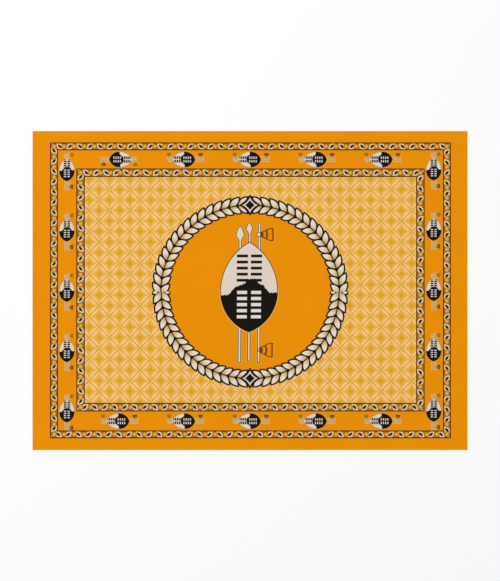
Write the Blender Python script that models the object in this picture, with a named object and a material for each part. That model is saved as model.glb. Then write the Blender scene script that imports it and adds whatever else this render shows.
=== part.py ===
"""Kanga wrap cloth: one printed cotton sheet lying flat on a surface.

Metres, +Z up. The cloth lies on the plane z = 0 with its long side along X and its upper
border toward +Y. The origin is under the middle of the cloth. The long sides are woven
selvedges, and each short end is turned under twice into a narrow hem.
"""

import math

import bmesh
import bpy

CLOTH_LENGTH = 1.500
CLOTH_WIDTH = 1.100
CLOTH_THICKNESS = 0.0012

HEM_WIDTH = 0.008
HEM_RISE = 0.0007
HEM_SLOPE = 0.002

COLUMNS = 36
ROWS = 26

MARIGOLD = (0.80, 0.27, 0.005, 1.0)
COTTON_ROUGHNESS = 0.85

# Soft ridges left in the cloth where it hasn't quite settled. They stay inside its edges, so
# that the middle, the edges and the corners lie on the surface. Each row is one ridge:
# centre x, centre y, heading in degrees from +X, half length, half width, height.
RIDGES = (
    (-0.52, 0.30, 40.0, 0.26, 0.12, 0.0020),
    (-0.22, 0.40, 172.0, 0.28, 0.11, 0.0013),
    (0.26, 0.39, 8.0, 0.30, 0.12, 0.0016),
    (0.55, 0.24, 124.0, 0.28, 0.13, 0.0022),
    (0.60, -0.10, 84.0, 0.24, 0.11, 0.0012),
    (0.45, -0.38, 164.0, 0.26, 0.11, 0.0018),
    (-0.02, -0.41, 4.0, 0.30, 0.11, 0.0014),
    (-0.47, -0.32, 34.0, 0.24, 0.12, 0.0021),
    (-0.61, -0.02, 96.0, 0.24, 0.11, 0.0011),
)


def clear_scene():
    """Remove every object, so that the model starts from nothing."""
    for obj in list(bpy.data.objects):
        bpy.data.objects.remove(obj, do_unlink=True)


def bump(distance, reach):
    """A smooth hill: 1 at distance 0, falling to 0 at the reach and flat beyond it."""
    ratio = distance / reach
    if abs(ratio) >= 1.0:
        return 0.0
    return (1.0 - ratio * ratio) ** 2


def lying_height(x, y):
    """Height of the cloth's underside above the surface it lies on."""
    height = 0.0
    for centre_x, centre_y, heading, half_length, half_width, ridge in RIDGES:
        angle = math.radians(heading)
        along = (x - centre_x) * math.cos(angle) + (y - centre_y) * math.sin(angle)
        across = (y - centre_y) * math.cos(angle) - (x - centre_x) * math.sin(angle)
        height += ridge * bump(along, half_length) * bump(across, half_width)
    return height


def hem_height(x):
    """Extra thickness of the doubled hem at the two short ends."""
    inside = CLOTH_LENGTH / 2 - abs(x)
    share = (HEM_WIDTH + HEM_SLOPE - inside) / HEM_SLOPE
    return HEM_RISE * min(max(share, 0.0), 1.0)


def cut_column(mesh, x):
    """Add a line of points across the sheet at x."""
    parts = list(mesh.verts) + list(mesh.edges) + list(mesh.faces)
    bmesh.ops.bisect_plane(mesh, geom=parts, plane_co=(x, 0.0, 0.0), plane_no=(1.0, 0.0, 0.0))


def make_sheet():
    """The cloth as one closed sheet: a grid, extruded to its thickness and laid down."""
    mesh = bmesh.new()
    bmesh.ops.create_grid(mesh, x_segments=COLUMNS, y_segments=ROWS, size=0.5)
    bmesh.ops.scale(mesh, vec=(CLOTH_LENGTH, CLOTH_WIDTH, 1.0), verts=mesh.verts)
    for side in (-1.0, 1.0):
        for inset in (HEM_WIDTH, HEM_WIDTH + HEM_SLOPE):
            cut_column(mesh, side * (CLOTH_LENGTH / 2 - inset))

    lifted = bmesh.ops.extrude_face_region(mesh, geom=list(mesh.faces))
    top = {item for item in lifted["geom"] if isinstance(item, bmesh.types.BMVert)}
    for vert in mesh.verts:
        vert.co.z = lying_height(vert.co.x, vert.co.y)
        if vert in top:
            vert.co.z += CLOTH_THICKNESS + hem_height(vert.co.x)
    bmesh.ops.recalc_face_normals(mesh, faces=mesh.faces)

    data = bpy.data.meshes.new("kanga_cloth")
    mesh.to_mesh(data)
    mesh.free()
    data.shade_smooth()
    data.set_sharp_from_angle(angle=math.radians(40.0))
    return data


def make_marigold_cotton():
    """Plain dyed cotton in the cloth's ground colour."""
    material = bpy.data.materials.new("marigold_cotton")
    material.use_nodes = True
    shader = material.node_tree.nodes["Principled BSDF"]
    shader.inputs["Base Color"].default_value = MARIGOLD
    shader.inputs["Roughness"].default_value = COTTON_ROUGHNESS
    shader.inputs["Metallic"].default_value = 0.0
    material.diffuse_color = MARIGOLD
    return material


def make_cloth():
    """The whole part: one sheet in one piece, hems included."""
    cloth = bpy.data.objects.new("kanga_cloth", make_sheet())
    cloth.data.materials.append(make_marigold_cotton())
    bpy.context.scene.collection.objects.link(cloth)
    return cloth


clear_scene()
make_cloth()
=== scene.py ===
"""Kanga wrap cloth: one printed cotton sheet, laid flat on a pale floor and seen from above.

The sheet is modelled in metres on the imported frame. Its print is drawn in millimetres from
the middle of the cloth, with x to the right and y toward the upper border. Every motif is a
formula of its own named sizes, worked out by the nodes of one group, so the print has no
picture behind it and keeps its edges at any distance.
"""

import math

import bmesh
import bpy
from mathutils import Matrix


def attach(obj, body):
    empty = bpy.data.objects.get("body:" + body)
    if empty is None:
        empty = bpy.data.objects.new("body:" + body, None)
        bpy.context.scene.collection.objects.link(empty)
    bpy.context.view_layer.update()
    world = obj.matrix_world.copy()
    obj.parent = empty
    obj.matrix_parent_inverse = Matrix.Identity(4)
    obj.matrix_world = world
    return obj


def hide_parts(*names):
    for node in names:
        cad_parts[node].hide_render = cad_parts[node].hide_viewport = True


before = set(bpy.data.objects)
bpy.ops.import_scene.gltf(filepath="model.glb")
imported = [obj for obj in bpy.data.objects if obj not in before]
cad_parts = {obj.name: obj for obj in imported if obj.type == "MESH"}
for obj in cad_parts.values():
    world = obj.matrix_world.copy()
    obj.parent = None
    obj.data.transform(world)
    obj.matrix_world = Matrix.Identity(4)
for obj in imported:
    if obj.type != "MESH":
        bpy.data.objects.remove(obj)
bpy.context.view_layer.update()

# The cloth, in metres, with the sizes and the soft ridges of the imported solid.
CLOTH_LENGTH = 1.500
CLOTH_WIDTH = 1.100
CLOTH_THICKNESS = 0.0012
HEM_WIDTH = 0.008
HEM_RISE = 0.0007
HEM_SLOPE = 0.002
COLUMNS = 150
ROWS = 110
EDGE_ROUNDING = 0.0004

# Each row is one ridge: centre x, centre y, heading in degrees from +X, half length, half
# width, height.
RIDGES = (
    (-0.52, 0.30, 40.0, 0.26, 0.12, 0.0020),
    (-0.22, 0.40, 172.0, 0.28, 0.11, 0.0013),
    (0.26, 0.39, 8.0, 0.30, 0.12, 0.0016),
    (0.55, 0.24, 124.0, 0.28, 0.13, 0.0022),
    (0.60, -0.10, 84.0, 0.24, 0.11, 0.0012),
    (0.45, -0.38, 164.0, 0.26, 0.11, 0.0018),
    (-0.02, -0.41, 4.0, 0.30, 0.11, 0.0014),
    (-0.47, -0.32, 34.0, 0.24, 0.12, 0.0021),
    (-0.61, -0.02, 96.0, 0.24, 0.11, 0.0011),
)

# The hem's sewing: one straight row of stitches at each short end.
STITCH_PITCH = 0.0040
STITCH_LENGTH = 0.0031
STITCH_WIDTH = 0.0007
STITCH_RISE = 0.0003
STITCH_INSET = 0.0062
STITCH_ROUNDING = STITCH_RISE * 0.7
UNSTITCHED_ENDS = 0.012

MILLIMETRES_PER_METRE = 1000.0
HALF_ROOT = math.sqrt(0.5)

# The print, in millimetres: how wide an inked edge is, and the middle of the wreath.
INK_EDGE = 1.2
WREATH_X = 0.5
WREATH_Y = -4.1
# Added to a length before it is folded into teeth, so that it isn't negative on a shield.
TEETH_START = 400.0


def ink(red, green, blue):
    """A printing ink from its sRGB values, as the linear colour that a shader takes."""
    linear = []
    for value in (red, green, blue):
        share = value / 255.0
        if share <= 0.04045:
            linear.append(share / 12.92)
        else:
            linear.append(((share + 0.055) / 1.055) ** 2.4)
    return tuple(linear) + (1.0,)


MARIGOLD = ink(232, 142, 2)
CREAM = ink(221, 208, 194)
BLACK = ink(24, 19, 14)

STAR_GOLD = ink(217, 166, 46)
STAR_HEART = ink(224, 158, 28)
PETAL_YELLOW = ink(229, 177, 75)
PETAL_TIP = ink(248, 195, 84)
PETAL_PEACH = ink(248, 196, 130)
MIDRIB = ink(192, 138, 52)

BAND_GROUND = ink(166, 122, 54)
BAND_LEAF = ink(229, 198, 154)
BAND_SEED = ink(34, 20, 14)
BAND_VINE = ink(84, 50, 14)
BUD_GOLD = ink(214, 146, 40)
BUD_HEART = ink(232, 168, 70)
BAND_LINE = ink(64, 38, 6)

LEAF_FACE = ink(230, 216, 202)
LEAF_GOLD = ink(208, 168, 98)

ROD_EDGE = ink(88, 64, 28)
SMALL_ROD = ink(216, 178, 118)
SMALL_HAZE = ink(204, 156, 82)
ROD_FACE = ink(224, 210, 190)
SLIT_WHITE = ink(225, 216, 207)
SHIELD_HALO = ink(236, 174, 74)
ROD_HALO = ink(238, 166, 50)
TASSEL_BROWN = ink(88, 48, 8)
TASSEL_COLLAR = ink(150, 70, 6)
TASSEL_STRIPE = ink(226, 160, 110)

REVERSE_COTTON = ink(236, 196, 132)
REVERSE_PALENESS = 0.42
THREAD_SHADE = ink(222, 134, 14)
THREAD_LIGHT = ink(240, 158, 40)


class Field:
    """A number that changes over the cloth, kept as a socket in the print's node tree."""

    tree = None

    def __init__(self, socket):
        self.socket = socket

    def __add__(self, other):
        return reckon("ADD", self, other)

    def __radd__(self, other):
        return reckon("ADD", self, other)

    def __sub__(self, other):
        return reckon("SUBTRACT", self, other)

    def __rsub__(self, other):
        return reckon("SUBTRACT", other, self)

    def __mul__(self, other):
        return reckon("MULTIPLY", self, other)

    def __rmul__(self, other):
        return reckon("MULTIPLY", self, other)

    def __truediv__(self, other):
        return reckon("DIVIDE", self, other)

    def __abs__(self):
        return reckon("ABSOLUTE", self)

    def __neg__(self):
        return reckon("MULTIPLY", self, -1.0)

    def sqrt(self):
        return reckon("SQRT", self)

    def floor(self):
        return reckon("FLOOR", self)

    def frac(self):
        return reckon("FRACT", self)

    def sign(self):
        return reckon("SIGN", self)

    def above(self, limit):
        return reckon("GREATER_THAN", self, limit)

    def power(self, exponent):
        return reckon("POWER", self, exponent)

    def clamp(self):
        return reckon("ADD", self, 0.0, clamped=True)

    def zigzag(self, top):
        return reckon("PINGPONG", self, top)


def join(value, plug):
    """Give a node's input a value: another node's result, or the same number all over."""
    if isinstance(value, Field):
        Field.tree.links.new(value.socket, plug)
    elif isinstance(value, bpy.types.NodeSocket):
        Field.tree.links.new(value, plug)
    else:
        plug.default_value = value


def reckon(operation, *values, clamped=False):
    node = Field.tree.nodes.new("ShaderNodeMath")
    node.operation = operation
    node.use_clamp = clamped
    for plug, value in zip(node.inputs, values):
        join(value, plug)
    return Field(node.outputs[0])


def least(first, second):
    return reckon("MINIMUM", first, second)


def most(first, second):
    return reckon("MAXIMUM", first, second)


def limit(value, low, high):
    return least(most(value, low), high)


def turn(rise, run):
    return reckon("ARCTAN2", rise, run)


def paint(under, colour, share):
    """Lay a colour over what is under it, as far as share says."""
    node = Field.tree.nodes.new("ShaderNodeMix")
    node.data_type = "RGBA"
    node.clamp_factor = True
    join(share, node.inputs["Factor"])
    join(under, node.inputs[6])
    join(colour, node.inputs[7])
    return node.outputs[2]


def fill(distance, edge=INK_EDGE):
    """1 inside a shape and 0 outside it, from the distance outside its edge."""
    return reckon("MULTIPLY_ADD", distance, -1.0 / edge, 0.5, clamped=True)


def reach(across, up):
    """Distance from the point where both are 0."""
    return (across * across + up * up).sqrt()


def between(low, high, share):
    return low + (high - low) * share


def leaf(along, across, half_length, half_width):
    """Distance outside a pointed leaf that lies along the first direction."""
    bluntness = 2.0
    share = abs(along) / half_length
    return abs(across) - (1.0 - share.power(bluntness)) * half_width


def draw_lattice(x, y):
    """The field's lattice: petals of overlapping circles round concave gold stars."""
    # The repeat, which is a little narrower over the middle and longer near both long sides.
    star_width = 70.75
    star_height = 73.36
    shift_x = 1.0
    shift_y = -15.9
    half_squeezed = 204.0
    squeeze = 0.045
    half_even = 175.0
    stretch = 0.0155

    # The motif.
    lane = 50.9
    star_tip = 25.0
    star_waist = 5.7
    heart_radius = 6.5
    petal_half_length = 19.0
    petal_half_width = 4.5
    petal_off_rib = 5.2
    tip_radius = 6.0
    tip_strength = 0.8
    rib_half_width = 1.0
    rib_fade_reach = 8.0
    rib_where_faded = 0.75

    squeezed = limit(x, -half_squeezed, half_squeezed) * squeeze
    stretched = most(abs(y) - half_even, 0.0) * stretch
    columns = (x - shift_x + squeezed) / star_width
    rows = (y - shift_y + stretched) / star_height
    rising = (columns + rows).frac() - 0.5
    falling = (columns - rows).frac() - 0.5

    along_row = abs(rising + falling) * lane * HALF_ROOT
    along_column = abs(rising - falling) * lane * HALF_ROOT
    star = concave_star(along_row, along_column, star_tip, star_waist)
    heart = reach(along_row, along_column) - heart_radius
    rib_one = (0.5 - abs(rising)) * lane
    rib_two = (0.5 - abs(falling)) * lane
    petal_one = leaf(falling * lane, rib_one - petal_off_rib, petal_half_length, petal_half_width)
    petal_two = leaf(rising * lane, rib_two - petal_off_rib, petal_half_length, petal_half_width)
    from_crossing = reach(rib_one, rib_two)
    rib_strength = between(rib_where_faded, 1.0, (from_crossing / rib_fade_reach).clamp())
    rib = fill(least(rib_one, rib_two) - rib_half_width, edge=1.6) * rib_strength

    print_so_far = paint(PETAL_YELLOW, STAR_GOLD, fill(star, edge=5.0))
    print_so_far = paint(print_so_far, STAR_HEART, fill(heart, edge=6.0))
    print_so_far = paint(print_so_far, PETAL_PEACH, fill(least(petal_one, petal_two), edge=3.5))
    tips = fill(from_crossing - tip_radius, edge=7.0) * tip_strength
    print_so_far = paint(print_so_far, PETAL_TIP, tips)
    return paint(print_so_far, MIDRIB, rib)


def draw_bands(x, y, print_so_far):
    """The two seed-and-bud bands that frame the border strip."""
    # Middle lines of the border strip and of the two bands, from the bands' own centre.
    centre_x = 1.6
    outer_centre_y = 0.4
    inner_centre_y = 1.85
    strip_half_length = 631.8
    strip_half_width = 450.2
    outer_half_length = 677.7
    outer_half_width = 496.8
    inner_half_length = 586.1
    inner_half_width = 404.45

    # How many seeds a band has on a long side and on a short end.
    outer_long_count = 39
    outer_short_count = 28
    inner_long_count = 34
    inner_short_count = 23

    # The motif.
    outer_half_band = 11.75
    inner_half_band = 12.8
    line_half = 2.0
    seed_shift = 2.6
    leaf_half_length = 17.0
    leaf_half_width = 10.2
    seed_half_length = 9.2
    seed_half_width = 4.3
    bud_from_seed = 17.4
    bud_radius = 7.4
    bud_rim = 1.8
    bud_heart_radius = 4.0
    vine_half = 0.9
    vine_strength = 0.8

    off_x = x - centre_x
    outside_x = abs(off_x) - strip_half_length
    outside_y = abs(y - outer_centre_y) - strip_half_width
    inner = 1.0 - most(outside_x, outside_y).above(0.0)
    off_y = y - between(outer_centre_y, inner_centre_y, inner)
    half_x = between(outer_half_length, inner_half_length, inner)
    half_y = between(outer_half_width, inner_half_width, inner)
    outer_pitch_x = 2.0 * outer_half_length / outer_long_count
    inner_pitch_x = 2.0 * inner_half_length / inner_long_count
    outer_pitch_y = 2.0 * outer_half_width / outer_short_count
    inner_pitch_y = 2.0 * inner_half_width / inner_short_count
    pitch_x = between(outer_pitch_x, inner_pitch_x, inner)
    pitch_y = between(outer_pitch_y, inner_pitch_y, inner)

    # Along a band the seeds are counted from one of its corners.
    beyond_x = abs(off_x) - half_x
    beyond_y = abs(off_y) - half_y
    across = most(beyond_x, beyond_y)
    on_ends = beyond_x.above(beyond_y)
    along_side = off_x * off_y.sign() + half_x
    along_end = half_y - off_y * off_x.sign()
    pitch = between(pitch_x, pitch_y, on_ends)
    cells = between(along_side, along_end, on_ends) / pitch
    cell = cells.floor()
    along = (cells - cell - 0.5) * pitch

    # Leaves lean one way and the other by turns: lean is -1 or 1.
    lean = (cell * 0.5).frac() * 4.0 - 1.0
    leaning = across * lean
    from_seed = along - seed_shift
    length_way = (from_seed + leaning) * HALF_ROOT
    width_way = (from_seed - leaning) * HALF_ROOT
    band_leaf = leaf(length_way, width_way, leaf_half_length, leaf_half_width)
    seed = leaf(length_way, width_way, seed_half_length, seed_half_width)
    bud = reach(bud_from_seed - abs(along), across)
    inside = abs(across) - between(outer_half_band, inner_half_band, inner)

    band = paint(BAND_GROUND, BAND_LEAF, fill(band_leaf, edge=2.0))
    band = paint(band, BAND_VINE, fill(abs(band_leaf) - vine_half) * vine_strength)
    band = paint(band, BAND_VINE, fill(bud - bud_radius - bud_rim) * vine_strength)
    band = paint(band, BUD_GOLD, fill(bud - bud_radius))
    band = paint(band, BUD_HEART, fill(bud - bud_heart_radius, edge=4.0))
    band = paint(band, BAND_SEED, fill(seed))
    band = paint(band, BAND_LINE, fill(abs(inside) - line_half))
    return paint(print_so_far, band, fill(inside - line_half))


def draw_wreath(x, y, print_so_far):
    """The ring of paired leaves, with a four-pointed star at its top and its bottom."""
    mean_radius = 308.0
    leaves_meet_y = -3.0
    leaf_along = 19.3
    leaf_out = 12.5
    # Cosine and sine of the angle at which a leaf leans out from the stem, about 40 degrees.
    lean_cosine = 0.763
    lean_sine = 0.647
    face_half_length = 22.2
    face_half_width = 9.0
    rim_half_length = 29.8
    rim_half_width = 15.0
    rim_reach = 16.0
    gold_start = 4.2
    gold_length = 17.0
    stem_half = 2.6
    stem_strength = 0.85
    meeting_out = 21.0
    meeting_half_length = 8.0
    meeting_half_width = 4.0
    meeting_rim = 2.8
    star_centre_x = -0.6
    star_from_centre = 298.7
    backing_half_width = 12.0
    backing_half_height = 28.5
    # Each row is one star, drawn over the one before: tip, waist and ink.
    stars = ((37.5, 16.5, BLACK), (26.5, 10.6, CREAM), (16.8, 7.9, BLACK))

    from_x = x - WREATH_X
    from_y = y - WREATH_Y
    upper = from_y.above(0.0)
    ring_radius = between(306.6, 308.2, upper)
    ring_stretch = between(1.0215, 1.031, upper)
    leaf_pitch = between(29.27, 29.82, upper)
    first_leaf = between(4.0, 7.0, upper)
    along = turn(abs(from_y - leaves_meet_y), abs(from_x)) * mean_radius
    off_stem = abs(reach(from_x, from_y * ring_stretch) - ring_radius)
    from_base = ((along + first_leaf) / leaf_pitch).frac() * leaf_pitch

    # Each leaf reaches over the foot of the next, so two of them are looked at.
    rim = None
    face = None
    shade = None
    for step_back in (0.0, leaf_pitch):
        run = from_base + step_back - leaf_along
        out = off_stem - leaf_out
        length_way = run * lean_cosine + out * lean_sine
        width_way = out * lean_cosine - run * lean_sine
        leaf_face = leaf(length_way, width_way, face_half_length, face_half_width)
        leaf_rim = leaf(length_way, width_way, rim_half_length, rim_half_width)
        gold = fill(leaf_face) * ((gold_start - length_way) / gold_length).clamp()
        face = leaf_face if face is None else least(face, leaf_face)
        rim = leaf_rim if rim is None else least(rim, leaf_rim)
        shade = gold if shade is None else most(shade, gold)
    out_of_meeting = abs(off_stem - meeting_out)
    meeting = leaf(out_of_meeting, along, meeting_half_length, meeting_half_width)
    face = least(face, meeting)
    rim = least(least(rim, meeting - meeting_rim), off_stem - rim_reach)
    print_so_far = paint(print_so_far, BLACK, fill(rim))
    print_so_far = paint(print_so_far, LEAF_FACE, fill(face))
    print_so_far = paint(print_so_far, LEAF_GOLD, shade)
    print_so_far = paint(print_so_far, BLACK, fill(off_stem - stem_half) * stem_strength)

    star_x = abs(from_x - star_centre_x)
    star_y = abs(abs(from_y) - star_from_centre)
    backing = most(star_x - backing_half_width, star_y - backing_half_height)
    print_so_far = paint(print_so_far, BLACK, fill(backing))
    for tip, waist, colour in stars:
        star = concave_star(star_x, star_y, tip, waist)
        print_so_far = paint(print_so_far, colour, fill(star))
    return print_so_far


def concave_star(across, up, tip, waist):
    """Distance outside a star of four points whose sides are arcs curving inward. The points
    reach as far as tip, and each arc comes in as far as waist across and waist up."""
    centre = (tip * tip - 2.0 * waist * waist) / (2.0 * tip - 4.0 * waist)
    arc = (centre - waist) / HALF_ROOT
    return most(arc - reach(across - centre, up - centre), across + up - tip)


class Figure:
    """The shield that each point of the cloth lies nearest to. The big one is in the middle,
    with five small ones along each side of the border strip. All are drawn by one set of
    nodes, from how far a point lies across and up from its shield's middle, in the big
    shield's millimetres."""

    def __init__(self, x, y):
        big_x = -3.2
        big_y = 5.1
        lean = 0.0075
        small_scale = 0.256
        strip_centre_x = 1.6
        strip_starts_x = 594.0
        strip_starts_y = 412.0
        places_each_way = 2.0

        off_x = x - strip_centre_x
        beyond_x = abs(off_x) - strip_starts_x
        beyond_y = abs(y) - strip_starts_y
        self.in_strip = most(beyond_x, beyond_y).above(0.0)
        self.in_column = beyond_x.above(0.0)

        # Along the long sides the shields lie down. The first of the upper row is turned round.
        row_pitch = 227.0
        row_shift = -1.0
        row_centre_y = 0.6
        row_from_centre = 451.4
        turned_before_x = -340.0
        turned_shift = 8.0
        row_place = limit((x / row_pitch + 0.5).floor(), -places_each_way, places_each_way)
        row_x = x - row_place * row_pitch - row_shift
        row_y = (abs(y - row_centre_y) - row_from_centre) * y.sign()
        turned = (turned_before_x - x).above(0.0) * y.above(0.0)
        facing = 1.0 - turned * 2.0
        row_across = row_y * facing
        row_up = -row_x * facing - turned * turned_shift

        # At the short ends they stand.
        column_pitch = 208.0
        left_y = -0.5
        right_y = 2.0
        left_from_centre = 633.4
        right_from_centre = 632.2
        on_right = off_x.above(0.0)
        column_y = y - between(left_y, right_y, on_right)
        column_place = (column_y / column_pitch + 0.5).floor()
        column_place = limit(column_place, -places_each_way, places_each_way)
        column_up = column_y - column_place * column_pitch
        column_from_centre = between(left_from_centre, right_from_centre, on_right)
        column_across = (abs(off_x) - column_from_centre) * off_x.sign()

        small_across = between(row_across, column_across, self.in_column) / small_scale
        small_up = between(row_up, column_up, self.in_column) / small_scale
        self.up = self.size(y - big_y, small_up)
        self.across = self.size(x - big_x, small_across) - self.up * lean
        self.edge = self.size(INK_EDGE, INK_EDGE / small_scale)

    def size(self, big, small):
        """One value on the big shield and another on the small ones."""
        return between(big, small, self.in_strip)

    def fill(self, distance, softness=1.0):
        """As the other fill, with an edge that is as sharp on the small shields."""
        return (0.5 - distance / (self.edge * softness)).clamp()


class Tassel:
    """The nearer of the staff's two tassels. It opens outward from the staff, with a wound
    neck, a stripe, a collar and a toothed fringe."""

    def __init__(self, figure):
        middle_up = -11.35
        neck_half = 8.0
        flare_half = 16.0
        flare_length = 42.0
        upper_share = 0.88
        small_growth = 5.0
        starts_out = 3.0
        ends_out = 50.0

        self.figure = figure
        self.upper = figure.up.above(0.0)
        self.up = abs(figure.up - middle_up) - figure.size(199.35, 213.5)
        staff_side = figure.size(34.8, 22.0)
        self.out = (figure.across - staff_side) * figure.size(1.0, 0.76)
        flare = (self.out / flare_length).clamp()
        flare = flare * flare * (3.0 - flare * 2.0)
        opening = (flare * flare_half + neck_half) * between(1.0, upper_share, self.upper)
        self.opening = opening + figure.in_strip * small_growth
        past_sides = abs(self.up) - self.opening
        past_ends = most(starts_out - self.out, self.out - ends_out)
        self.body = most(past_sides, past_ends)

    def draw(self, print_so_far):
        tooth_half = 3.6
        tooth_depth = 1.8
        fringe_out = 43.0
        fringe_half = 2.6
        side_half = 1.8
        side_middle_out = 26.0
        side_half_length = 21.0
        bow_starts_out = -4.0
        collar_radius = 30.0
        collar_half = 4.2
        collar_share = 0.9
        stripe_radius = 23.0
        stripe_half = 1.8
        stripe_share = 0.85
        neck_starts_out = 4.0
        neck_radius = 21.5
        wound_radius = 13.5
        wound_length = 4.0
        wound_strength = 0.5

        fill_in = self.figure.fill
        past_sides = abs(self.up) - self.opening
        teeth = (self.up + TEETH_START).zigzag(tooth_half) * tooth_depth
        fringe = most(abs(self.out - fringe_out - teeth) - fringe_half, past_sides)
        side_length = abs(self.out - side_middle_out) - side_half_length
        side = most(abs(past_sides) - side_half, side_length)
        bow = reach(most(self.out - bow_starts_out, 0.0), self.up)
        collar_side = abs(self.up) - self.opening * collar_share
        collar = most(abs(bow - collar_radius) - collar_half, collar_side)
        stripe_side = abs(self.up) - self.opening * stripe_share
        stripe = most(abs(bow - stripe_radius) - stripe_half, stripe_side)
        neck = most(past_sides, most(neck_starts_out - self.out, bow - neck_radius))
        wound = ((bow - wound_radius) / wound_length).clamp() * wound_strength

        small_strength = self.figure.in_strip * between(0.75, 0.3, self.upper)
        stripe_strength = between(0.9, 0.2, self.upper)
        print_so_far = paint(print_so_far, MARIGOLD, fill_in(self.body))
        print_so_far = paint(print_so_far, TASSEL_BROWN, fill_in(self.body) * small_strength)
        print_so_far = paint(print_so_far, TASSEL_COLLAR, fill_in(collar))
        print_so_far = paint(print_so_far, TASSEL_STRIPE, fill_in(stripe) * stripe_strength)
        print_so_far = paint(print_so_far, TASSEL_BROWN, fill_in(neck) * (1.0 - wound))
        return paint(print_so_far, TASSEL_BROWN, fill_in(least(side, fringe)))

    def draw_knob(self, print_so_far):
        """The knob that ties the tassel to its staff."""
        rim = 3.0
        rim_strength = 0.8
        staff_across = between(34.2, 32.0, self.upper)
        radius = between(2.8, 5.5, self.upper)
        knob = reach(self.figure.across - staff_across, self.up) - radius
        rim_share = self.figure.fill(knob - rim) * rim_strength
        print_so_far = paint(print_so_far, ROD_EDGE, rim_share)
        knob_share = self.figure.fill(knob) * between(0.8, 1.0, self.upper)
        return paint(print_so_far, CREAM, knob_share)


def measure_rods(figure, foot):
    """Distance outside the two spears and the staff."""
    small_spread = 1.15
    small_shift = 4.0
    blade_bluntness = 1.5
    # Each row is one rod: place, half width, top, and how far short of the foot it ends.
    shafts = (
        (-31.7, 5.9, 185.0, 0.0),
        (0.7, 5.5, 205.0, 5.5),
        (34.4, 5.6, 231.0, 0.0),
    )
    # Each row is one blade: place, height of its widest point, lengths above and below that,
    # half width.
    blades = (
        (-32.3, 187.0, 34.5, 23.5, 15.4),
        (-0.6, 207.6, 25.5, 20.0, 12.2),
    )

    up = figure.up
    across = figure.across * figure.size(1.0, small_spread) - figure.in_strip * small_shift
    rods = None
    for place, half_width, top, short_by in shafts:
        past_end = most(up - top, foot + short_by - up) + half_width
        shaft = reach(across - place, most(past_end, 0.0)) - half_width
        rods = shaft if rods is None else least(rods, shaft)
    for place, widest, above, below, half_width in blades:
        from_widest = up - widest
        taper = most(from_widest / above, from_widest / -below)
        blade = abs(across - place) - (1.0 - taper.power(blade_bluntness)) * half_width
        rods = least(rods, blade)
    return rods


def draw_spears(figure, print_so_far):
    """Two spears and a staff with two tassels, which stand behind the shield."""
    halo_reach = 3.0
    halo_strength = 0.8
    haze_middle = 4.8
    haze_half_width = 36.0
    haze_top = 230.0
    haze_past_foot = 3.0
    rod_rim = 2.9
    small_rod_growth = 4.0

    foot = figure.size(-256.0, -272.0)
    rods = measure_rods(figure, foot)
    tassel = Tassel(figure)
    halo = figure.fill(least(tassel.body, rods) - halo_reach) * halo_strength
    print_so_far = paint(print_so_far, ROD_HALO, halo)

    # Between the small shields' rods the ground shows hazy.
    past_ends = most(figure.up - haze_top, foot - haze_past_foot - figure.up)
    haze = most(abs(figure.across - haze_middle) - haze_half_width, past_ends)
    print_so_far = paint(print_so_far, SMALL_HAZE, figure.fill(haze) * figure.in_strip)

    print_so_far = tassel.draw(print_so_far)
    print_so_far = paint(print_so_far, ROD_EDGE, figure.fill(rods))
    rod_face = paint(ROD_FACE, SMALL_ROD, figure.in_strip)
    face = figure.fill(rods + rod_rim - figure.in_strip * small_rod_growth)
    print_so_far = paint(print_so_far, rod_face, face)
    return tassel.draw_knob(print_so_far)


def measure_hide_border(figure):
    """Height of the ragged line where the shield's white hide meets the black."""
    shoulder_starts = 71.0
    shoulder_run = 22.0
    shoulder_rise = 25.0
    dome_middle = 4.0
    dome_starts = 54.0
    dome_run = 40.0
    dome_rise = 13.0
    crest_middle = 10.0
    crest_run = 9.0
    slope = 0.05
    # Each row is one set of teeth: half pitch and depth.
    teeth = ((4.0, 0.7), (6.7, 0.35))

    across = figure.across
    crest_starts = figure.size(24.0, 40.0)
    crest_rise = figure.size(13.0, 11.0)
    drop = figure.size(19.0, 8.0)
    shoulder = ((shoulder_starts - abs(across)) / shoulder_run).clamp() * shoulder_rise
    dome = ((dome_starts - abs(across - dome_middle)) / dome_run).clamp() * dome_rise
    crest = ((crest_starts - abs(across - crest_middle)) / crest_run).clamp() * crest_rise
    border = shoulder + dome + crest + across * slope - drop
    for half_pitch, depth in teeth:
        border = border + (across + TEETH_START).zigzag(half_pitch) * depth
    return border


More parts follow.
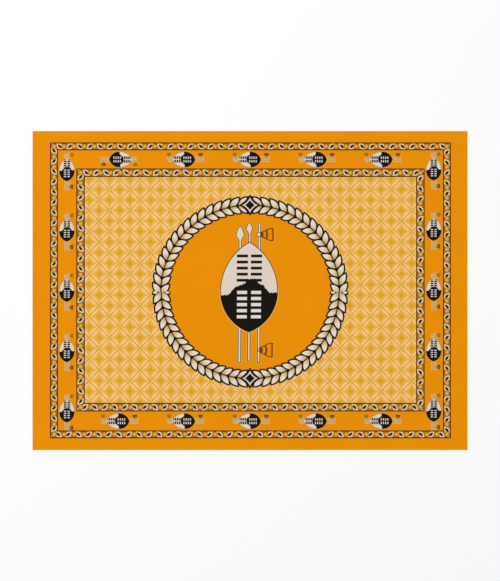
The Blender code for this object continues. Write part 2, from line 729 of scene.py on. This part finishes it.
def draw_hide(figure, print_so_far):
    """The oval shield, white above and black below, laced through two columns of slits."""
    halo_reach = 4.2
    halo_softness = 8.0
    rim_reach = 1.6
    rim_inset = 0.9
    slit_column = 24.3
    slit_shift = 0.3
    slit_lean = 0.004

    up = figure.up
    across = figure.across
    small_half_width = between(104.0, 101.5, figure.in_column)
    half_width = figure.size(98.0, small_half_width)
    above_widest = up + figure.size(8.0, 15.0)
    top_arc = figure.size(194.7, 212.0)
    bottom_arc = figure.size(148.6, 141.0)
    arc = between(bottom_arc, top_arc, above_widest.above(0.0))
    shield = reach(abs(across) + arc - half_width, above_widest) - arc
    black_part = figure.fill(up - measure_hide_border(figure))

    slit_pitch = figure.size(20.97, 29.0)
    first_slit = figure.size(30.2, 28.6)
    rows = (up - first_slit) / slit_pitch
    off_row = abs((rows + 0.5).frac() - 0.5) * slit_pitch
    off_column = abs(abs(across - slit_shift - up * slit_lean) - slit_column)
    white_slit = most(off_column - figure.size(17.1, 14.6), off_row - figure.size(5.5, 6.6))
    white_rows = abs(up - figure.size(-53.0, -50.0)) - figure.size(53.0, 56.0)
    black_slit = most(off_column - figure.size(19.2, 18.0), off_row - figure.size(4.9, 10.4))
    black_rows = abs(up - figure.size(75.0, 83.0)) - figure.size(51.0, 60.0)

    halo = figure.fill(shield - halo_reach) * figure.fill(up, softness=halo_softness)
    white_part = figure.fill(shield + rim_inset) * (1.0 - black_part)
    white_slits = figure.fill(most(white_slit, white_rows)) * black_part
    print_so_far = paint(print_so_far, SHIELD_HALO, halo)
    print_so_far = paint(print_so_far, BLACK, figure.fill(shield - rim_reach))
    print_so_far = paint(print_so_far, CREAM, white_part)
    print_so_far = paint(print_so_far, SLIT_WHITE, white_slits)
    return paint(print_so_far, BLACK, figure.fill(most(black_slit, black_rows)))


def draw_print(x, y):
    """The whole print: ground, lattice, wreath, shields and bands, one over the other."""
    field_x = 2.1
    field_y = 1.85
    field_half_length = 573.0
    field_half_width = 391.5
    ring_radius = 307.4
    ring_stretch = 1.0265

    past_ends = abs(x - field_x) - field_half_length
    past_sides = abs(y - field_y) - field_half_width
    inside_ring = ring_radius - reach(x - WREATH_X, (y - WREATH_Y) * ring_stretch)
    outside_field = most(most(past_ends, past_sides), inside_ring)
    print_so_far = paint(MARIGOLD, draw_lattice(x, y), fill(outside_field))
    print_so_far = draw_wreath(x, y, print_so_far)
    figure = Figure(x, y)
    print_so_far = draw_spears(figure, print_so_far)
    print_so_far = draw_hide(figure, print_so_far)
    return draw_bands(x, y, print_so_far)


def make_print_group():
    """The node group that holds the print, as one colour for each point of the cloth."""
    tree = bpy.data.node_groups.new("kanga_print", "ShaderNodeTree")
    tree.interface.new_socket("Print", in_out="OUTPUT", socket_type="NodeSocketColor")
    Field.tree = tree
    place = tree.nodes.new("ShaderNodeTexCoord")
    parts = tree.nodes.new("ShaderNodeSeparateXYZ")
    tree.links.new(place.outputs["Object"], parts.inputs[0])
    x = Field(parts.outputs["X"]) * MILLIMETRES_PER_METRE
    y = Field(parts.outputs["Y"]) * MILLIMETRES_PER_METRE
    result = tree.nodes.new("NodeGroupOutput")
    tree.links.new(draw_print(x, y), result.inputs["Print"])
    return tree


def bump_shape(distance, extent):
    """A smooth hill: 1 at distance 0, falling to 0 at its extent and flat beyond it."""
    ratio = distance / extent
    if abs(ratio) >= 1.0:
        return 0.0
    return (1.0 - ratio * ratio) ** 2


def lying_height(x, y):
    """Height of the cloth's underside above the floor."""
    height = 0.0
    for centre_x, centre_y, heading, half_length, half_width, ridge in RIDGES:
        angle = math.radians(heading)
        along = (x - centre_x) * math.cos(angle) + (y - centre_y) * math.sin(angle)
        across = (y - centre_y) * math.cos(angle) - (x - centre_x) * math.sin(angle)
        height += ridge * bump_shape(along, half_length) * bump_shape(across, half_width)
    return height


def hem_height(x):
    """Extra thickness of the doubled hem at the two short ends."""
    inside = CLOTH_LENGTH / 2 - abs(x)
    share = (HEM_WIDTH + HEM_SLOPE - inside) / HEM_SLOPE
    return HEM_RISE * min(max(share, 0.0), 1.0)


def cut_column(mesh, x):
    """Add a line of points across the sheet at x."""
    parts = list(mesh.verts) + list(mesh.edges) + list(mesh.faces)
    bmesh.ops.bisect_plane(mesh, geom=parts, plane_co=(x, 0.0, 0.0), plane_no=(1.0, 0.0, 0.0))


def lay_out_map(mesh):
    """Spread the sheet's faces over one map: the printed face, the four edges in thin strips,
    and the reverse squeezed in above them."""
    lies_flat = 0.3
    gap = 0.004
    strip_filled = 0.8
    face_top = CLOTH_WIDTH / CLOTH_LENGTH
    edge_start = face_top + gap
    edge_strip = 0.0035
    reverse_start = 0.757
    reverse_height = 0.240
    layer = mesh.loops.layers.uv.new("OFBake")
    for face in mesh.faces:
        normal = face.normal
        for loop in face.loops:
            point = loop.vert.co
            right = point.x / CLOTH_LENGTH + 0.5
            up = point.y / CLOTH_WIDTH + 0.5
            level = min(max(point.z / (CLOTH_THICKNESS + HEM_RISE), 0.0), 1.0)
            if normal.z > lies_flat:
                loop[layer].uv = (right, up * face_top)
            elif normal.z < -lies_flat:
                loop[layer].uv = (right, reverse_start + up * reverse_height)
            elif abs(normal.y) > abs(normal.x):
                strip = 0 if normal.y > 0.0 else 1
                place = strip + strip_filled * level
                loop[layer].uv = (right, edge_start + place * edge_strip)
            else:
                strip = 2 if normal.x > 0.0 else 3
                place = strip + strip_filled * level
                loop[layer].uv = (up, edge_start + place * edge_strip)


def make_sheet(face_cotton, reverse_cotton):
    """The cloth as one closed sheet: a grid, extruded to its thickness and laid down. The
    reverse begins inside the hems, whose turned-under strips show the printed side."""
    rim_angle = math.radians(60.0)
    faces_down = -0.5
    mesh = bmesh.new()
    bmesh.ops.create_grid(mesh, x_segments=COLUMNS, y_segments=ROWS, size=0.5)
    bmesh.ops.scale(mesh, vec=(CLOTH_LENGTH, CLOTH_WIDTH, 1.0), verts=mesh.verts)
    for side in (-1.0, 1.0):
        for inset in (HEM_WIDTH, HEM_WIDTH + HEM_SLOPE):
            cut_column(mesh, side * (CLOTH_LENGTH / 2 - inset))

    lifted = bmesh.ops.extrude_face_region(mesh, geom=list(mesh.faces))
    top = {item for item in lifted["geom"] if isinstance(item, bmesh.types.BMVert)}
    for vert in mesh.verts:
        vert.co.z = lying_height(vert.co.x, vert.co.y)
        if vert in top:
            vert.co.z += CLOTH_THICKNESS + hem_height(vert.co.x)
    bmesh.ops.recalc_face_normals(mesh, faces=mesh.faces)

    rim = [edge for edge in mesh.edges if edge.calc_face_angle(0.0) > rim_angle]
    bmesh.ops.bevel(
        mesh,
        geom=rim,
        offset=EDGE_ROUNDING,
        affect="EDGES",
        segments=2,
        profile=0.5,
        material=-1,
    )
    mesh.normal_update()
    lay_out_map(mesh)
    for face in mesh.faces:
        face.smooth = True
        inside = CLOTH_LENGTH / 2 - abs(face.calc_center_median().x)
        on_reverse = face.normal.z < faces_down and inside > HEM_WIDTH
        face.material_index = 1 if on_reverse else 0

    data = bpy.data.meshes.new("kanga_sheet")
    mesh.to_mesh(data)
    mesh.free()
    sheet = bpy.data.objects.new("kanga_sheet", data)
    data.materials.append(face_cotton)
    data.materials.append(reverse_cotton)
    bpy.context.scene.collection.objects.link(sheet)
    return sheet


def add_stitch(mesh, x, y, level):
    """One machine stitch: a short rounded bar of thread, half of it sunk into the cloth."""
    bar = bmesh.ops.create_cube(mesh, size=1.0)["verts"]
    bmesh.ops.scale(mesh, vec=(STITCH_WIDTH, STITCH_LENGTH, STITCH_RISE * 2.0), verts=bar)
    sides = {edge for vert in bar for edge in vert.link_edges}
    rounded = bmesh.ops.bevel(
        mesh,
        geom=list(sides),
        offset=STITCH_ROUNDING,
        affect="EDGES",
        segments=1,
        profile=0.5,
        material=-1,
    )
    bmesh.ops.translate(mesh, vec=(x, y, level), verts=rounded["verts"])


def make_stitches(thread):
    """The row of stitches that holds each hem down."""
    mesh = bmesh.new()
    count = int((CLOTH_WIDTH - UNSTITCHED_ENDS) / STITCH_PITCH)
    level = CLOTH_THICKNESS + HEM_RISE
    for side in (-1.0, 1.0):
        x = side * (CLOTH_LENGTH / 2 - STITCH_INSET)
        for place in range(count):
            y = (place - (count - 1) / 2) * STITCH_PITCH
            add_stitch(mesh, x, y, level)
    bmesh.ops.recalc_face_normals(mesh, faces=mesh.faces)
    data = bpy.data.meshes.new("hem_stitches")
    mesh.to_mesh(data)
    mesh.free()
    data.materials.append(thread)
    stitches = bpy.data.objects.new("hem_stitches", data)
    bpy.context.scene.collection.objects.link(stitches)
    return stitches


class Bench:
    """A material's node tree, with short ways to add and join its nodes."""

    def __init__(self, name):
        self.material = bpy.data.materials.new(name)
        self.material.use_nodes = True
        self.tree = self.material.node_tree
        self.shader = self.tree.nodes["Principled BSDF"]

    def add(self, kind, **settings):
        node = self.tree.nodes.new(kind)
        for name, value in settings.items():
            setattr(node, name, value)
        return node

    def link(self, source, target):
        self.tree.links.new(source, target)


def add_threads(bench, place):
    """The plain weave: warp and weft threads crossing, with thicker slubs here and there.
    Returns the height of the threads, and how thick the yarn is by itself."""
    weave_repeat = 0.0009
    along_yarn = 9.0
    across_yarn = 420.0
    crossing_share = 0.35
    parts = bench.add("ShaderNodeSeparateXYZ")
    bench.link(place, parts.inputs[0])
    waves = []
    for axis in ("X", "Y"):
        wave = bench.add("ShaderNodeMath", operation="MULTIPLY")
        wave.inputs[1].default_value = 2.0 * math.pi / weave_repeat
        bench.link(parts.outputs[axis], wave.inputs[0])
        sine = bench.add("ShaderNodeMath", operation="SINE")
        bench.link(wave.outputs[0], sine.inputs[0])
        waves.append(sine)
    crossing = bench.add("ShaderNodeMath", operation="MULTIPLY")
    bench.link(waves[0].outputs[0], crossing.inputs[0])
    bench.link(waves[1].outputs[0], crossing.inputs[1])
    slubs = []
    for stretch in ((along_yarn, across_yarn, 1.0), (across_yarn, along_yarn, 1.0)):
        mapping = bench.add("ShaderNodeMapping")
        mapping.inputs["Scale"].default_value = stretch
        bench.link(place, mapping.inputs["Vector"])
        slub = bench.add("ShaderNodeTexNoise")
        slub.inputs["Scale"].default_value = 1.0
        slub.inputs["Detail"].default_value = 2.0
        bench.link(mapping.outputs["Vector"], slub.inputs["Vector"])
        slubs.append(slub)
    yarn = bench.add("ShaderNodeMath", operation="ADD")
    bench.link(slubs[0].outputs["Fac"], yarn.inputs[0])
    bench.link(slubs[1].outputs["Fac"], yarn.inputs[1])
    height = bench.add("ShaderNodeMath", operation="MULTIPLY_ADD")
    bench.link(crossing.outputs[0], height.inputs[0])
    height.inputs[1].default_value = crossing_share
    bench.link(yarn.outputs[0], height.inputs[2])
    return height.outputs[0], yarn.outputs[0]


def make_cotton(name, print_group, reverse):
    """Printed cotton. The reverse shows the same print paler, as ink that came through."""
    bench = Bench(name)
    place = bench.add("ShaderNodeTexCoord").outputs["Object"]
    height, yarn = add_threads(bench, place)
    group = bench.add("ShaderNodeGroup")
    group.node_tree = print_group
    colour = group.outputs["Print"]
    if reverse:
        pale = bench.add("ShaderNodeMix", data_type="RGBA")
        pale.inputs["Factor"].default_value = REVERSE_PALENESS
        bench.link(colour, pale.inputs[6])
        pale.inputs[7].default_value = REVERSE_COTTON
        colour = pale.outputs[2]

    dye = bench.add("ShaderNodeTexNoise")
    dye.inputs["Scale"].default_value = 7.0
    dye.inputs["Detail"].default_value = 3.0
    bench.link(place, dye.inputs["Vector"])
    depth = bench.add("ShaderNodeMapRange")
    depth.inputs["From Min"].default_value = 0.25
    depth.inputs["From Max"].default_value = 0.75
    depth.inputs["To Min"].default_value = 0.975
    depth.inputs["To Max"].default_value = 1.025
    bench.link(dye.outputs["Fac"], depth.inputs["Value"])
    uneven = bench.add("ShaderNodeMapRange")
    uneven.inputs["From Min"].default_value = 0.5
    uneven.inputs["From Max"].default_value = 1.5
    uneven.inputs["To Min"].default_value = 0.955
    uneven.inputs["To Max"].default_value = 1.045
    bench.link(yarn, uneven.inputs["Value"])
    both = bench.add("ShaderNodeMath", operation="MULTIPLY")
    bench.link(depth.outputs["Result"], both.inputs[0])
    bench.link(uneven.outputs["Result"], both.inputs[1])
    toned = bench.add("ShaderNodeVectorMath", operation="SCALE")
    bench.link(colour, toned.inputs[0])
    bench.link(both.outputs[0], toned.inputs["Scale"])
    bench.link(toned.outputs["Vector"], bench.shader.inputs["Base Color"])

    weave = bench.add("ShaderNodeBump")
    weave.inputs["Strength"].default_value = 0.25
    weave.inputs["Distance"].default_value = 0.00012
    bench.link(height, weave.inputs["Height"])
    bench.link(weave.outputs["Normal"], bench.shader.inputs["Normal"])
    bench.shader.inputs["Roughness"].default_value = 0.86
    bench.shader.inputs["Specular IOR Level"].default_value = 0.04
    bench.shader.inputs["Sheen Weight"].default_value = 0.02
    bench.shader.inputs["Sheen Roughness"].default_value = 0.6
    return bench.material


def make_thread():
    """Orange sewing thread with a twist, drawn as diagonal bands of painted shade and painted
    light.
    """
    bench = Bench("hem_thread")
    place = bench.add("ShaderNodeTexCoord").outputs["Object"]
    twist = bench.add("ShaderNodeTexWave", bands_direction="DIAGONAL")
    twist.inputs["Scale"].default_value = 700.0
    bench.link(place, twist.inputs["Vector"])
    # Painted shade and painted light: the thread's one orange, darker and lighter in diagonal
    # bands along the twist.
    colour = bench.add("ShaderNodeMix", data_type="RGBA")
    bench.link(twist.outputs["Fac"], colour.inputs["Factor"])
    colour.inputs[6].default_value = THREAD_SHADE
    colour.inputs[7].default_value = THREAD_LIGHT
    bench.link(colour.outputs[2], bench.shader.inputs["Base Color"])
    bench.shader.inputs["Roughness"].default_value = 0.6
    bench.shader.inputs["Specular IOR Level"].default_value = 0.25
    return bench.material


def make_floor():
    """A plain pale floor that the cloth lies on."""
    half_width = 60.0
    mesh = bmesh.new()
    bmesh.ops.create_grid(mesh, x_segments=1, y_segments=1, size=half_width)
    data = bpy.data.meshes.new("pale_floor")
    mesh.to_mesh(data)
    mesh.free()
    floor = bpy.data.objects.new("pale_floor", data)
    bench = Bench("pale_floor")
    bench.shader.inputs["Base Color"].default_value = (0.985, 0.985, 0.985, 1.0)
    bench.shader.inputs["Roughness"].default_value = 0.9
    bench.shader.inputs["Specular IOR Level"].default_value = 0.1
    data.materials.append(bench.material)
    bpy.context.scene.collection.objects.link(floor)


def make_light():
    """An even white sky and one large soft lamp from the upper left."""
    world = bpy.data.worlds.new("studio")
    world.use_nodes = True
    sky = world.node_tree.nodes["Background"]
    sky.inputs["Color"].default_value = (1.0, 1.0, 1.0, 1.0)
    sky.inputs["Strength"].default_value = 0.75
    bpy.context.scene.world = world

    lamp_data = bpy.data.lights.new("soft_lamp", "AREA")
    lamp_data.shape = "SQUARE"
    lamp_data.size = 5.0
    lamp_data.energy = 345.0
    lamp = bpy.data.objects.new("soft_lamp", lamp_data)
    lamp.location = (-4.0, 4.0, 9.0)
    lamp.rotation_mode = "QUATERNION"
    lamp.rotation_quaternion = (-lamp.location).to_track_quat("-Z", "Y")
    bpy.context.scene.collection.objects.link(lamp)


def make_camera():
    """A long lens straight above the middle of the cloth."""
    picture_height = 581
    metres_per_pixel = 0.0034505
    camera_data = bpy.data.cameras.new("camera")
    camera_data.lens = 120.0
    camera_data.sensor_width = 36.0
    camera = bpy.data.objects.new("camera", camera_data)
    shown_height = picture_height * metres_per_pixel
    camera.location = (0.0, 0.0, shown_height * camera_data.lens / camera_data.sensor_width)
    bpy.context.scene.collection.objects.link(camera)
    bpy.context.scene.camera = camera


print_group = make_print_group()
face_cotton = make_cotton("printed_face", print_group, reverse=False)
reverse_cotton = make_cotton("printed_reverse", print_group, reverse=True)
sheet = make_sheet(face_cotton, reverse_cotton)
stitches = make_stitches(make_thread())
make_floor()
make_light()
make_camera()
bpy.context.scene.view_settings.view_transform = "Standard"

for piece in (sheet, stitches):
    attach(piece, "root")
    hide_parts("kanga_cloth")
